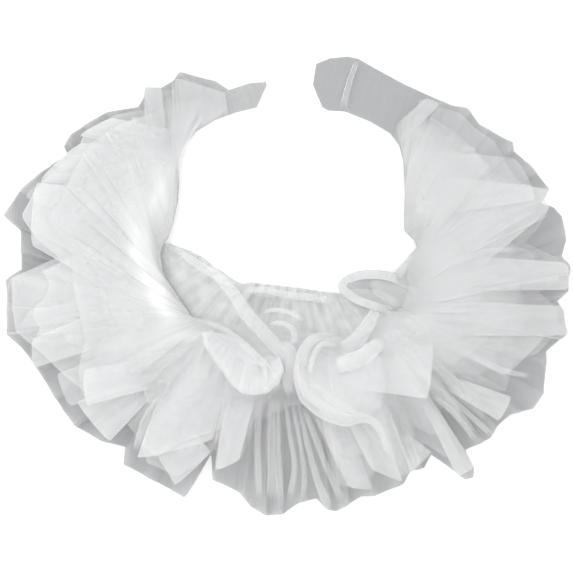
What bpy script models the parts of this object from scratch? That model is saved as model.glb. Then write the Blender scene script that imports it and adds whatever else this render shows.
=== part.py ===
"""Ruff collar of gathered tulle, laid flat on a table with its back edge open.

Metres, +Z up. The collar lies in the XY plane as it is seen from above: the front is at -Y and
the two plain ends face each other at +Y. The origin is under the middle of the collar, on the
table. Angles go anticlockwise round the neck centre, from the left end at about 100 degrees,
through 180 (left), 270 (front) and 360 (right), to the right end at about 440 degrees.
"""
import math
from collections import namedtuple

import bmesh
import bpy
from mathutils import Vector

# Driving dimensions
MM = 0.001
WALL = 1.2 * MM             # cloth wall, a few plies of net pressed together
SEAM = 0.3 * MM             # gap between pieces that are sewn edge to edge
PLY_GAP = 0.4 * MM          # clear height kept between one flounce and the next
NECK_CENTRE = Vector((0.002131, 0.050733, 0.0))
PINCH_PITCH = 3.5 * MM      # height that each flounce takes at the gathering thread
HEM_PITCH = 13.5 * MM       # height that each flounce takes at its hem
FRILL_PITCH = 7.5 * MM      # height that the frill takes at the neck
PINCH_RADIUS = 95.0 * MM
SPREAD_OUT = 95.0 * MM      # how far outside the thread a flounce reaches its full height
SPREAD_IN = 40.0 * MM
SEAM_ANGLE = 0.12           # half a seam, in degrees at the hem
OPENING_SHARE = 0.5         # how far out from the thread the folds have fully opened
LEAST_COLUMN = 0.55         # least step between the sections of a pleated wall, in degrees
CLOTH_COLOUR = (0.86, 0.87, 0.88, 1.0)
SHEER_COLOUR = (0.62, 0.63, 0.64, 1.0)
CLOTH_ROUGHNESS = 0.75

Corner = namedtuple("Corner", "angle reach")           # degrees, millimetres from the neck centre
Fold = namedtuple("Fold", "angle rise lean half")      # degrees, share of the room, degrees, degrees
Fan = namedtuple("Fan", "hem thread")                  # degrees at the hem, degrees at the thread

# Where each fold starts on the gathering thread, for its place on the hem. The thread is bunched
# at the two front corners, so the folds fan out from there and sweep back along the sides.
FAN = [Fan(*row) for row in (
    (100, 100), (107, 108), (118, 125), (128, 146), (140, 166), (150, 183), (160, 199),
    (168, 210), (175, 218), (186, 223), (196, 226), (210, 229), (222, 232), (233, 235.5),
    (243, 240), (250, 244), (254, 248), (261, 258), (268, 268), (280, 284), (291, 299),
    (302, 308), (315, 313.5), (330, 317), (341, 320), (350, 323.5), (358, 327.5), (364, 331.5),
    (370, 337), (376, 344), (384, 355), (390, 364), (400, 384), (410, 402), (425, 422), (441, 441),
)]

# The gathering thread. At the sides it is the neck edge, and at the front the frill is inside it.
THREAD = [Corner(*row) for row in (
    (100, 97), (107.3, 82.5), (118, 85), (128, 88.6), (138, 92), (149, 93), (152, 92.5),
    (162.6, 84.6), (172.4, 82.4), (183.4, 85.3), (189.3, 89.5), (192.5, 94), (196, 98),
    (205, 101), (225, 102), (250, 99), (272, 99), (290, 99), (304, 106), (320, 106), (328, 101),
    (334, 93), (342, 92), (346, 94.7), (348.7, 92), (352.5, 83.5), (357.5, 82.4), (372.3, 85),
    (386, 91), (392.5, 94), (399.7, 94), (410, 89.7), (422.4, 85.7), (430.3, 81.4), (433.6, 82.4),
    (438, 91), (441, 99),
)]

# Hem of the lowest flounce: the outline of the collar as it lies.
UNDER_HEM = [Corner(*row) for row in (
    (100.3, 99), (107, 101), (116, 102), (119, 112), (123, 120), (127.5, 132), (131, 130),
    (135, 132), (138.3, 141), (141, 137), (144.5, 136), (147.5, 144), (151, 154), (154, 159),
    (159.6, 170), (163, 172), (164.5, 168), (166, 171), (170, 184), (175, 198), (179.8, 208),
    (183, 196), (187.5, 197), (191.3, 199), (192.6, 211), (197, 215), (202.5, 223),
    (205.5, 218), (209, 215), (216, 215), (220.5, 217), (224.6, 218), (230, 213),
    (234.6, 206), (236.2, 217), (242, 216), (249.6, 218), (251.6, 182), (253.6, 199),
    (259.5, 204), (262.3, 213), (265.5, 218), (268.8, 216), (271.8, 208), (275.4, 206),
    (277, 214), (278.8, 217), (284, 210), (287, 212), (293, 211), (295.4, 204), (298, 207),
    (300.5, 201), (302.4, 217), (303.4, 229), (304.8, 231), (305.9, 227), (306.6, 212),
    (310, 215), (312, 217), (314, 214), (318, 215), (321.5, 225), (325, 224), (329, 216),
    (332, 210), (337, 218), (341, 210), (342.4, 203), (345, 209), (350, 206), (351.5, 199),
    (355, 201), (360, 197), (362, 191), (363, 182), (366, 189), (372, 178), (376.5, 168.5),
    (378.5, 170), (381, 163), (386, 152.5), (391.5, 150.5), (394.5, 142), (400, 134.5),
    (409, 126.5), (420, 123.6), (426.7, 124.4), (430.4, 123), (436, 118), (440.4, 112),
)]
MIDDLE_HEM = [Corner(*row) for row in (
    (119, 104), (123, 111), (127.5, 127), (133, 124), (138.3, 136), (143, 129), (150, 146),
    (158, 160), (164, 161), (170, 176), (175, 186), (180, 194), (185, 184), (190, 170),
    (192.6, 206), (198, 211), (203, 215), (209, 205), (216, 199), (222, 194), (230, 189),
    (236, 195), (240, 206), (246.5, 205), (250.5, 186), (252, 176), (254, 191), (258.5, 178),
    (261, 150), (270, 137), (277, 138), (279.5, 196), (284, 203), (288, 196), (290, 188),
    (292.5, 206), (298, 200), (300.6, 190), (302.5, 205), (304.5, 214), (306.5, 190),
    (308, 174), (310.5, 208), (312, 178), (313.5, 206), (316, 186), (321, 200), (327, 192),
    (331, 204), (337, 211), (341, 202), (343, 186), (346, 199), (351, 196), (353.5, 170),
    (357, 178), (361, 186), (366, 183), (368.5, 166), (374, 160), (380, 157), (386, 147),
    (391, 144), (396, 134), (402, 126),
)]
TOP_HEM = [Corner(*row) for row in (
    (128, 106), (135, 116), (143, 124), (152, 140), (160, 153), (168, 159), (175, 164),
    (180.5, 174), (186, 164), (191, 160), (198, 164), (206, 168), (211, 172), (216, 188),
    (221, 198), (225, 183), (230, 156), (234, 150), (237, 196), (241, 199), (244, 182),
    (249, 168), (255, 156), (259, 134), (268, 128), (278, 130), (283, 139), (288, 152),
    (291, 176), (293.5, 192), (296, 156), (302, 148), (309, 149), (316, 156), (323, 164),
    (331, 169), (338, 175), (346, 170), (352, 160), (360, 153), (370, 147), (380, 141),
    (388, 132), (395, 124),
)]
FRILL_EDGE = [Corner(*row) for row in (
    (192.8, 90), (195, 85), (199.3, 76.6), (204, 71), (213, 66.5), (222, 63), (234, 61),
    (239, 56), (250, 52.4), (266, 51), (278, 52.6), (295, 60.5), (304, 68), (311, 74),
    (319, 79), (326, 83), (330, 89),
)]

# Folds of each piece: where the crest stands on the hem, how much of the free height it fills,
# how far it leans over its neighbour, and half of its width.
UNDER_FOLDS = [Fold(*row) for row in (
    (121.5, 0.5, 0.8, 1.6), (127.5, 0.7, 1.6, 2.0), (133, 0.6, 1.5, 2.0), (138.5, 0.7, 1.8, 2.0),
    (144, 0.5, 1.4, 2.0), (149.5, 0.6, 1.4, 2.0), (155, 0.6, 1.8, 2.2), (161, 0.5, 1.5, 2.2),
    (166.5, 0.7, 1.8, 2.0), (173, 0.6, 2.4, 2.6), (179.8, 0.8, 2.0, 2.6), (186.5, 0.5, 0.8, 2.2),
    (193, 0.8, -1.2, 2.2), (198.5, 0.6, -1.4, 2.2), (204, 0.8, -1.0, 2.2), (210, 0.5, 0.8, 2.4),
    (216.5, 0.6, 1.2, 2.4), (223, 0.6, 1.4, 2.4), (229.5, 0.5, 1.2, 2.4), (236, 0.8, -1.0, 2.2),
    (242, 0.6, 0.6, 2.2), (249, 0.8, 1.4, 2.2), (254.5, 0.8, -0.8, 1.8), (260.5, 0.5, 0.0, 1.6),
    (264.4, 0.8, 0.9, 1.3), (267.6, 0.8, 0.9, 1.3), (272.4, 0.6, -0.4, 1.5), (277, 0.9, 0.9, 1.3),
    (280.6, 0.8, 0.9, 1.4), (286, 0.6, 1.2, 2.0), (291.5, 0.7, 1.2, 1.8), (296.4, 0.7, 0.8, 1.6),
    (304, 1.0, 0.6, 2.2), (309.6, 0.8, 0.8, 1.5), (313.4, 0.8, 0.8, 1.4), (318.5, 0.6, 1.0, 2.0),
    (324, 0.6, 1.2, 2.2), (330.5, 0.6, -0.8, 2.2), (337, 0.9, -1.0, 2.2), (343.5, 0.6, -0.8, 1.8),
    (350, 0.8, -1.2, 2.2), (357, 0.5, -1.2, 2.4), (364.5, 0.7, -1.4, 2.2), (371, 0.5, -1.0, 2.2),
    (377.6, 0.6, -1.0, 2.0), (384, 0.5, -0.9, 2.0), (390.5, 0.6, -0.9, 2.0), (396.5, 0.4, -0.5, 1.8),
)]
MIDDLE_FOLDS = [Fold(*row) for row in (
    (122, 0.6, 1.0, 3.0), (127.8, 0.9, 1.8, 2.8), (133.6, 0.7, 1.8, 2.8), (139.4, 0.9, 2.2, 2.9),
    (145.6, 0.7, 2.2, 3.1), (152, 0.8, 2.4, 3.2), (158.6, 0.7, 2.6, 2.3), (165.4, 0.9, 2.8, 2.4),
    (172.4, 0.8, 3.0, 3.5), (179.6, 1.0, 3.0, 3.6), (187.2, 0.6, 1.0, 3.4), (194, 0.9, -2.0, 3.2),
    (200.4, 0.8, -2.2, 3.1), (206.6, 0.8, -1.4, 3.1), (213, 0.7, 1.0, 3.2), (219.6, 0.8, 2.2, 3.3),
    (226.4, 0.8, 2.6, 3.4), (233, 0.7, 1.2, 3.0), (239, 0.9, -1.4, 3.0), (245.2, 0.9, 1.0, 3.1),
    (250.6, 0.9, 1.4, 2.3), (255.4, 0.9, -1.2, 2.4), (260.6, 0.6, 0.0, 2.6), (266, 0.6, 0.6, 2.7),
    (271.6, 0.6, 0.0, 2.8), (277, 0.8, -0.6, 2.6), (281.8, 0.9, -1.4, 2.3), (287, 0.8, 1.6, 2.6),
    (292.4, 1.0, 1.6, 2.6), (297.6, 0.8, 1.2, 2.6), (303.6, 1.0, 0.8, 2.8), (309.8, 0.9, 1.4, 2.2),
    (314.2, 0.9, 1.4, 2.1), (319.4, 0.8, 1.8, 2.8), (325.2, 0.8, 1.6, 2.9), (331.2, 0.9, -1.2, 3.0),
    (337.4, 0.9, -1.8, 3.1), (343.6, 0.8, -1.8, 3.0), (349.8, 1.0, -2.4, 3.1), (356.2, 0.7, -2.6, 3.2),
    (362.8, 0.9, -2.6, 3.3), (369.2, 0.7, -2.2, 2.2), (375.4, 0.7, -2.0, 2.0), (381.4, 0.7, -1.8, 3.0),
    (387.4, 0.7, -1.6, 3.0), (393.4, 0.7, -1.2, 3.0), (399, 0.5, -0.6, 2.6),
)]
TOP_FOLDS = [Fold(*row) for row in (
    (131.4, 0.6, 1.4, 3.3), (138.4, 0.8, 2.2, 3.5), (145.8, 0.7, 2.4, 3.7), (153.4, 0.9, 2.8, 2.8),
    (161.2, 0.8, 3.0, 2.9), (169.4, 0.9, 3.4, 4.1), (178, 1.0, 3.6, 4.3), (186, 0.7, 1.6, 3.6),
    (193.4, 0.8, -1.6, 3.6), (200.6, 0.7, -1.8, 3.6), (208, 0.8, -1.0, 3.7), (215.6, 0.9, 1.4, 3.8),
    (222.6, 1.0, 3.0, 3.2), (229, 0.7, 2.0, 3.2), (235.4, 0.8, -1.2, 3.2), (241.4, 0.9, 1.0, 2.8),
    (247, 0.7, 1.2, 2.8), (253, 0.8, -0.8, 3.2), (259.4, 0.5, 0.0, 3.2), (266, 0.5, 0.5, 3.4),
    (272.8, 0.5, -0.3, 3.4), (279.4, 0.6, -0.8, 3.2), (285.6, 0.7, 1.2, 3.0), (292, 1.0, 1.8, 3.2),
    (298.4, 0.7, 1.4, 3.2), (305, 0.8, 1.0, 3.2), (311.8, 0.7, 1.4, 3.3), (318.8, 0.8, 1.8, 3.5),
    (326, 0.8, 0.6, 3.6), (333.2, 0.9, -1.4, 3.6), (340.4, 0.8, -2.0, 3.6), (347.6, 0.9, -2.4, 3.6),
    (354.8, 0.7, -2.4, 3.6), (362, 0.9, -2.4, 3.6), (369.2, 0.7, -2.2, 2.6), (376.2, 0.8, -2.0, 2.4),
    (383, 0.6, -1.6, 3.4), (389.8, 0.7, -1.2, 3.4),
)]
FRILL_FOLDS = [Fold(*row) for row in (
    (197, 0.5, 0.4, 2.4), (202.5, 0.6, 0.8, 2.8), (209, 0.6, 1.0, 3.0), (216, 0.7, 1.6, 3.4),
    (225, 0.8, 1.6, 3.8), (234, 0.6, 1.2, 3.6), (242, 0.7, 1.0, 3.4), (250, 0.5, 0.6, 3.4),
    (258, 0.5, 0.0, 3.4), (266, 0.4, 0.0, 3.4), (274, 0.5, -0.6, 3.2), (281, 0.7, -1.0, 2.6),
    (286.5, 0.9, -1.2, 2.4), (292, 0.9, -1.2, 2.4), (298, 0.7, -0.8, 2.6), (305, 0.6, 0.6, 2.8),
    (312, 0.7, 1.0, 3.0), (319, 0.6, 0.8, 3.0), (325.5, 0.5, 0.4, 2.6),
)]

# Front loops that stand on the gathers: outline of each, and where it springs from the thread.
LEFT_PUFF = [Corner(*row) for row in (
    (233, 106), (237, 113), (242, 118), (247, 123), (251, 129), (255, 132.5), (259, 131.5),
    (263, 128), (266, 121), (267.6, 111),
)]
RIGHT_PUFF = [Corner(*row) for row in (
    (271.6, 110), (272.2, 121), (274.4, 131), (279, 142), (285, 151), (291, 155), (296, 150),
    (300, 139), (302.6, 124),
)]
PUFF_THREAD_REACH = 99.5
LEFT_PUFF_THREAD = (236.0, 265.0)
RIGHT_PUFF_THREAD = (276.0, 300.0)
PUFF_HEIGHT = 13.0 * MM
PUFF_SEAT_SHARE = 0.35
PUFF_LIP_HEIGHT = 4.0 * MM
PUFF_LIP_WIDTH = 6.0 * MM

# Loop of net that lies over the neck edge at the right: middle of its band, from end to end.
Loop = namedtuple("Loop", "angle reach height")        # degrees, millimetres, millimetres
NECK_LOOP = [Loop(*row) for row in (
    (316.4, 101.5, 3.5), (314.6, 95, 5.4), (312.3, 88, 7.8), (308.2, 77.2, 9.4), (305.9, 67.8, 9.6),
    (307, 62.5, 9.6), (313.2, 62.2, 10), (320.7, 67.3, 10.2), (326.8, 77.8, 9.2), (328.8, 86, 6.4),
    (329.6, 93, 3.6),
)]
NECK_LOOP_BAND = 6.6 * MM
NECK_LOOP_TILT = 2.4 * MM

SEAMS_LEFT_FRONT = (158.0, 162.0, 157.25)       # under, middle and top flounce
SEAMS_FRONT_RIGHT = (374.4, 372.4, 372.8)
END_LEFT = 117.6
END_RIGHT = 401.5


def smooth(share):
    """Eases a share from 0 to 1."""
    share = min(1.0, max(0.0, share))
    return share * share * (3.0 - 2.0 * share)


def pitch(radius):
    """Height that one flounce takes at this distance from the neck centre."""
    if radius >= PINCH_RADIUS:
        return PINCH_PITCH + (HEM_PITCH - PINCH_PITCH) * smooth((radius - PINCH_RADIUS) / SPREAD_OUT)
    return PINCH_PITCH + (FRILL_PITCH - PINCH_PITCH) * smooth((PINCH_RADIUS - radius) / SPREAD_IN)


def polar(angle, radius, height=0.0):
    """A point at an angle and distance from the neck centre."""
    turn = math.radians(angle)
    return NECK_CENTRE + Vector((radius * math.cos(turn), radius * math.sin(turn), height))


def neighbours(rows, value, column=0):
    """The two rows of a table on either side of a value of one of its columns."""
    for low, high in zip(rows, rows[1:]):
        if value <= high[column]:
            return low, high
    return rows[-2], rows[-1]


def reach_at(corners, angle):
    """Distance to the straight line between two corners of an outline, in metres."""
    low, high = neighbours(corners, angle)
    angle = min(max(angle, low.angle), high.angle)
    before, after = math.radians(angle - low.angle), math.radians(high.angle - angle)
    span = low.reach * math.sin(before) + high.reach * math.sin(after)
    return MM * low.reach * high.reach * math.sin(before + after) / span


def thread_angle(angle):
    """Where on the gathering thread the fold at this hem angle starts."""
    low, high = neighbours(FAN, angle)
    share = (angle - low.hem) / (high.hem - low.hem)
    return low.thread + (high.thread - low.thread) * share


def fold_wave(folds, angle):
    """Height share of the cloth at a hem angle: 0 in a valley, up to 1 on a crest."""
    height = 0.0
    for fold in folds:
        offset = abs(angle - fold.angle) / fold.half
        if offset < 1.0:
            height = max(height, fold.rise * (1.0 + math.cos(math.pi * offset)) / 2.0)
    return height


def fold_lean(folds, angle):
    """Sideways lean at a hem angle, between the leans of the nearest folds."""
    low, high = neighbours(folds, angle)
    share = min(1.0, max(0.0, (angle - low.angle) / (high.angle - low.angle)))
    return low.lean + (high.lean - low.lean) * share


def flounce_point(layer, hem, folds, angle, share):
    """Middle of a flounce's wall, at a hem angle and a share of the way from thread to hem."""
    wave = fold_wave(folds, angle) * smooth(share / OPENING_SHARE)
    leaned = min(max(angle + fold_lean(folds, angle) * wave, hem[0].angle), hem[-1].angle)
    start = polar(thread_angle(angle), reach_at(THREAD, thread_angle(angle)))
    place = start.lerp(polar(leaned, reach_at(hem, leaned)), share)
    height = pitch((place - NECK_CENTRE).length)
    place.z = layer * height + WALL / 2.0 + wave * (height - WALL - PLY_GAP)
    return place


def frill_point(angle, share):
    """Middle of the neck frill's wall, from the gathering thread in towards the neck."""
    outer = reach_at(THREAD, angle) - SEAM
    inner = reach_at(FRILL_EDGE, angle)
    radius = outer + (inner - outer) * share
    wave = fold_wave(FRILL_FOLDS, angle)
    turn = angle + fold_lean(FRILL_FOLDS, angle) * wave * share
    room = pitch(radius) - WALL - PLY_GAP
    return polar(turn, radius, WALL / 2.0 + wave * room)


def puff_point(outline, thread, along, share):
    """Middle of a front loop's wall: out from the thread over a crown, then turned in under its lip."""
    hem_angle = outline[0].angle + (outline[-1].angle - outline[0].angle) * along
    start = polar(thread[0] + (thread[1] - thread[0]) * along, MM * PUFF_THREAD_REACH)
    end = polar(hem_angle, reach_at(outline, hem_angle))
    out = min(share, 1.0)
    crown = math.sin(math.pi * out * 0.85)
    place = start.lerp(end, 1.0 - (1.0 - out) ** 1.5)
    lift = PUFF_LIP_HEIGHT * out + PUFF_HEIGHT * crown
    if share > 1.0:
        back = (start - end).normalized() * PUFF_LIP_WIDTH * (share - 1.0)
        place = end + back
        lift = (PUFF_LIP_HEIGHT + PUFF_HEIGHT * crown) * (2.0 - share) + WALL * (share - 1.0)
    radius = (place - NECK_CENTRE).length
    seat = 2.0 * pitch(radius) + WALL + PLY_GAP
    seat += (3.0 * pitch(radius) - seat) * smooth(out / PUFF_SEAT_SHARE)
    place.z = seat + WALL / 2.0 + lift
    return place


def loop_point(along, share):
    """Middle of the neck loop's wall: along its path, and across its tilted band."""
    place = along * (len(NECK_LOOP) - 1)
    before = min(int(place), len(NECK_LOOP) - 2)
    low, high = NECK_LOOP[before], NECK_LOOP[before + 1]
    start = polar(low.angle, low.reach * MM, low.height * MM)
    end = polar(high.angle, high.reach * MM, high.height * MM)
    middle = start.lerp(end, place - before)
    earlier = NECK_LOOP[max(0, round(place) - 1)]
    later = NECK_LOOP[min(len(NECK_LOOP) - 1, round(place) + 1)]
    way = polar(later.angle, later.reach) - polar(earlier.angle, earlier.reach)
    side = Vector((way.y, -way.x, 0.0)).normalized()
    spread = share - 0.5
    tip = smooth(1.0 - abs(along - 0.5) / 0.5)
    return middle + side * NECK_LOOP_BAND * spread - Vector((0.0, 0.0, NECK_LOOP_TILT * tip * spread))


def columns(first, last, folds, corners):
    """Angles at which a pleated wall has its sections: crests, hem corners, flanks and valleys."""
    wanted = [first, last]
    wanted += [fold.angle for fold in folds if first < fold.angle < last]
    others = [corner.angle for corner in corners]
    for fold in folds:
        for offset in (-1.0, -0.5, 0.5, 1.0):
            others.append(fold.angle + offset * fold.half)
    for angle in others:
        if first < angle < last and min(abs(angle - other) for other in wanted) > LEAST_COLUMN:
            wanted.append(angle)
    return sorted(wanted)


def material(name, colour):
    """A plain matt cloth finish."""
    finish = bpy.data.materials.new(name)
    finish.use_nodes = True
    shader = finish.node_tree.nodes["Principled BSDF"]
    shader.inputs["Base Color"].default_value = colour
    shader.inputs["Roughness"].default_value = CLOTH_ROUGHNESS
    shader.inputs["Metallic"].default_value = 0.0
    return finish


def cloth_wall(name, across, out, point, finish):
    """One piece of cloth: a grid laid on point(angle, share), thickened to a wall."""
    grid = bmesh.new()
    bmesh.ops.create_grid(grid, x_segments=len(across) - 1, y_segments=len(out) - 1, size=1.0)
    for corner in grid.verts:
        column = round((corner.co.x + 1.0) / 2.0 * (len(across) - 1))
        row = round((corner.co.y + 1.0) / 2.0 * (len(out) - 1))
        corner.co = point(across[column], out[row])
    bmesh.ops.recalc_face_normals(grid, faces=grid.faces)
    mesh = bpy.data.meshes.new(name)
    grid.to_mesh(mesh)
    grid.free()
    piece = bpy.data.objects.new(name, mesh)
    collar.objects.link(piece)
    mesh.materials.append(finish)
    shell = piece.modifiers.new("wall", "SOLIDIFY")
    shell.thickness = WALL
    shell.offset = 0.0
    shell.use_even_offset = False
    return piece


def flounce(name, layer, hem, folds, first, last, out, finish):
    """One sewn length of a gathered flounce, between two hem angles."""
    across = columns(first + SEAM_ANGLE, last - SEAM_ANGLE, folds, hem)

    def point(angle, share):
        return flounce_point(layer, hem, folds, angle, share)

    return cloth_wall(name, across, out, point, finish)


for old in list(bpy.data.objects):
    bpy.data.objects.remove(old, do_unlink=True)
collar = bpy.data.collections.new("ruff_collar")
bpy.context.scene.collection.children.link(collar)
sheer = material("single_net", SHEER_COLOUR)
net = material("gathered_net", CLOTH_COLOUR)

UNDER_ROWS = (0.0, 0.2, 0.42, 0.7, 1.0)
UPPER_ROWS = (0.0, 0.22, 0.48, 1.0)
for label, first, last in (
    ("plain_end_left", UNDER_HEM[0].angle, END_LEFT),
    ("under_flounce_left", END_LEFT, SEAMS_LEFT_FRONT[0]),
    ("under_flounce_front", SEAMS_LEFT_FRONT[0], SEAMS_FRONT_RIGHT[0]),
    ("under_flounce_right", SEAMS_FRONT_RIGHT[0], END_RIGHT),
    ("plain_end_right", END_RIGHT, UNDER_HEM[-1].angle),
):
    flounce(label, 0, UNDER_HEM, UNDER_FOLDS, first, last, UNDER_ROWS, sheer)
for label, first, last in (
    ("middle_flounce_left", MIDDLE_HEM[0].angle, SEAMS_LEFT_FRONT[1]),
    ("middle_flounce_front", SEAMS_LEFT_FRONT[1], SEAMS_FRONT_RIGHT[1]),
    ("middle_flounce_right", SEAMS_FRONT_RIGHT[1], MIDDLE_HEM[-1].angle),
):
    flounce(label, 1, MIDDLE_HEM, MIDDLE_FOLDS, first, last, UPPER_ROWS, net)
for label, first, last in (
    ("top_flounce_left", TOP_HEM[0].angle, SEAMS_LEFT_FRONT[2]),
    ("top_flounce_front", SEAMS_LEFT_FRONT[2], SEAMS_FRONT_RIGHT[2]),
    ("top_flounce_right", SEAMS_FRONT_RIGHT[2], TOP_HEM[-1].angle),
):
    flounce(label, 2, TOP_HEM, TOP_FOLDS, first, last, UPPER_ROWS, net)

FRILL_COLUMNS = columns(FRILL_EDGE[0].angle, FRILL_EDGE[-1].angle, FRILL_FOLDS, FRILL_EDGE)
cloth_wall("neck_frill", FRILL_COLUMNS, (0.0, 0.5, 1.0), frill_point, sheer)

PUFF_ROWS = (0.0, 0.12, 0.28, 0.48, 0.7, 0.88, 1.0, 1.5, 1.9)
PUFF_COLUMNS = [step / 14.0 for step in range(15)]
cloth_wall("front_loop_left", PUFF_COLUMNS, PUFF_ROWS,
           lambda along, share: puff_point(LEFT_PUFF, LEFT_PUFF_THREAD, along, share), net)
cloth_wall("front_loop_right", PUFF_COLUMNS, PUFF_ROWS,
           lambda along, share: puff_point(RIGHT_PUFF, RIGHT_PUFF_THREAD, along, share), net)
cloth_wall("neck_loop_right", [step / 10.0 for step in range(11)], (0.0, 0.5, 1.0), loop_point, net)
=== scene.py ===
"""Ruff collar of gathered sheer net, laid flat and open at the back, as seen from above."""
import math
from collections import namedtuple

import bmesh
import bpy
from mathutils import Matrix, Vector, noise


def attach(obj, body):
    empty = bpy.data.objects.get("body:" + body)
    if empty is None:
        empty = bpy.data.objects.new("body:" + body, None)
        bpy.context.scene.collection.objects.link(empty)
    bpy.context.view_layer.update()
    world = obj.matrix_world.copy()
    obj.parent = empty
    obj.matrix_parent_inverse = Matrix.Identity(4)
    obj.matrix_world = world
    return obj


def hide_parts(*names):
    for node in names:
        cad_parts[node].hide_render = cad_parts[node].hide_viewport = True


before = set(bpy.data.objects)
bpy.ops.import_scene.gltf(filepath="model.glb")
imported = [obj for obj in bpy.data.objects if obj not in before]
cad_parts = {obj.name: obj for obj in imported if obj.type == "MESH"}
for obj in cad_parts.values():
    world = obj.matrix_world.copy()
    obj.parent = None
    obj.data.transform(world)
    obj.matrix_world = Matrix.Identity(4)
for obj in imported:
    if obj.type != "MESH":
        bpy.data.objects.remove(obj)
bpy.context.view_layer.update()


# Under flounce and plain ends
# The longest frill of net lies on the table and shows round the whole edge. One long strip is
# gathered on the neck thread, and its two ends are left plain at the back opening.
MM = 0.001
NECK_CENTRE = Vector((0.002131, 0.050733, 0.0))
CAD_WALL = 1.2 * MM  # wall of the solids' cloth
PLY_GAP = 0.4 * MM  # and the gap between two of them
PINCH_PITCH = 3.5 * MM  # height that each flounce takes at the gathering thread
HEM_PITCH = 13.5 * MM  # and at its hem
FRILL_PITCH = 7.5 * MM  # and at the neck side of the frill
PINCH_RADIUS = 95.0 * MM  # how far from the neck centre it is flattest
SPREAD_OUT = 95.0 * MM  # how much further out it has its full height
SPREAD_IN = 40.0 * MM  # and how much further in
NET_THICKNESS = 0.25 * MM
OPENING_SHARE = 0.5  # how far out from the thread the folds have fully opened
CREST = 0.9  # height of the highest fold, as a share of the room
FOLD_HEIGHT = 0.8  # height that a fold keeps along it
FOLD_UNEVENNESS = 0.35  # and how far that rises and falls
MORE_LEAN = 0.5  # how much further than its solid a fold lies over
LEAN_FROM = 0.4  # height share of a fold from which it does so
WANDER = 0.9  # how far a fold strays sideways, in degrees
WANDER_TO = 0.9  # and how far out from the thread it goes on doing so
LEAST_DEPTH = 4.0 * MM  # depth that the raggedest ply keeps
FINE_GATHER = 0.12  # height of the small gathers at the thread, as a share of the room
FINE_GATHER_TURN = 5.1  # how close they lie, in radians a degree
FINE_GATHER_STRAY = 9.0  # how unevenly, in radians
FINE_GATHER_FADE = 1.9  # and how soon they fade on the way out
RIPPLE = 0.12  # height of the creases across the folds, as a share of the room

Stretch = namedtuple("Stretch", "start rise end fall")
GATHERED = Stretch(108.0, 12.0, 432.0, 30.0)  # hem degrees between the two plain ends
Corner = namedtuple("Corner", "angle reach")  # degrees, millimetres from the neck centre
Fold = namedtuple("Fold", "angle rise lean half")  # degrees, share of the room, degrees, degrees
Fan = namedtuple("Fan", "hem thread")  # degrees at the hem, degrees at the thread
Heading = namedtuple("Heading", "angle depth")  # degrees at the thread, millimetres
Ply = namedtuple("Ply", "name level room seed shift short rag lift fade deep")
# seat in flounces, share of the room, seed of its unevenness, shift in degrees, share of the hem's
# reach, raggedness, lift at the hem, how far it fades there, and its cut depth in metres

FAN = [Fan(*row) for row in (
    (100, 100), (107, 108), (118, 125), (128, 146), (140, 166), (150, 183), (160, 199),
    (168, 210), (175, 218), (186, 223), (196, 226), (210, 229), (222, 232), (233, 235.5),
    (243, 240), (250, 244), (254, 248), (261, 258), (268, 268), (280, 284), (291, 299),
    (302, 308), (315, 313.5), (330, 317), (341, 320), (350, 323.5), (358, 327.5), (364, 331.5),
    (370, 337), (376, 344), (384, 355), (390, 364), (400, 384), (410, 402), (425, 422), (441, 441),
)]
THREAD = [Corner(*row) for row in (
    (100, 97), (107.3, 82.5), (118, 85), (128, 88.6), (138, 92), (149, 93), (152, 92.5),
    (162.6, 84.6), (172.4, 82.4), (183.4, 85.3), (189.3, 89.5), (192.5, 94), (196, 98),
    (205, 101), (225, 102), (250, 99), (272, 99), (290, 99), (304, 106), (320, 106), (328, 101),
    (334, 93), (342, 92), (346, 94.7), (348.7, 92), (352.5, 83.5), (357.5, 82.4), (372.3, 85),
    (386, 91), (392.5, 94), (399.7, 94), (410, 89.7), (422.4, 85.7), (430.3, 81.4), (433.6, 82.4),
    (438, 91), (441, 99),
)]
HEADING = [Heading(*row) for row in (
    (97, 0), (225, 0), (235, 6), (250, 16), (266, 20), (276, 19), (284, 10), (297, 6), (305, 12),
    (312, 15), (320, 2), (326, 0), (441, 0),
)]
UNDER_HEM = [Corner(*row) for row in (
    (100.3, 99), (107, 101), (116, 102), (119, 112), (123, 120), (127.5, 132), (131, 130),
    (135, 132), (138.3, 141), (141, 137), (144.5, 136), (147.5, 144), (151, 154), (154, 159),
    (159.6, 170), (163, 172), (164.5, 168), (166, 171), (170, 184), (175, 198), (179.8, 208),
    (183, 196), (187.5, 197), (191.3, 199), (192.6, 211), (197, 215), (202.5, 223),
    (205.5, 218), (209, 215), (216, 215), (220.5, 217), (224.6, 218), (230, 213),
    (234.6, 206), (236.2, 217), (242, 216), (249.6, 218), (251.6, 182), (253.6, 199),
    (259.5, 204), (262.3, 213), (265.5, 218), (268.8, 216), (271.8, 208), (275.4, 206),
    (277, 214), (278.8, 217), (284, 210), (287, 212), (293, 211), (295.4, 204), (298, 207),
    (300.5, 201), (302.4, 217), (303.4, 229), (304.8, 231), (305.9, 227), (306.6, 212),
    (310, 215), (312, 217), (314, 214), (318, 215), (321.5, 225), (325, 224), (329, 216),
    (332, 210), (337, 218), (341, 210), (342.4, 203), (345, 209), (350, 206), (351.5, 199),
    (355, 201), (360, 197), (362, 191), (363, 182), (366, 189), (372, 178), (376.5, 168.5),
    (378.5, 170), (381, 163), (386, 152.5), (391.5, 150.5), (394.5, 142), (400, 134.5),
    (409, 126.5), (420, 123.6), (426.7, 124.4), (430.4, 123), (436, 118), (440.4, 112),
)]
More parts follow.
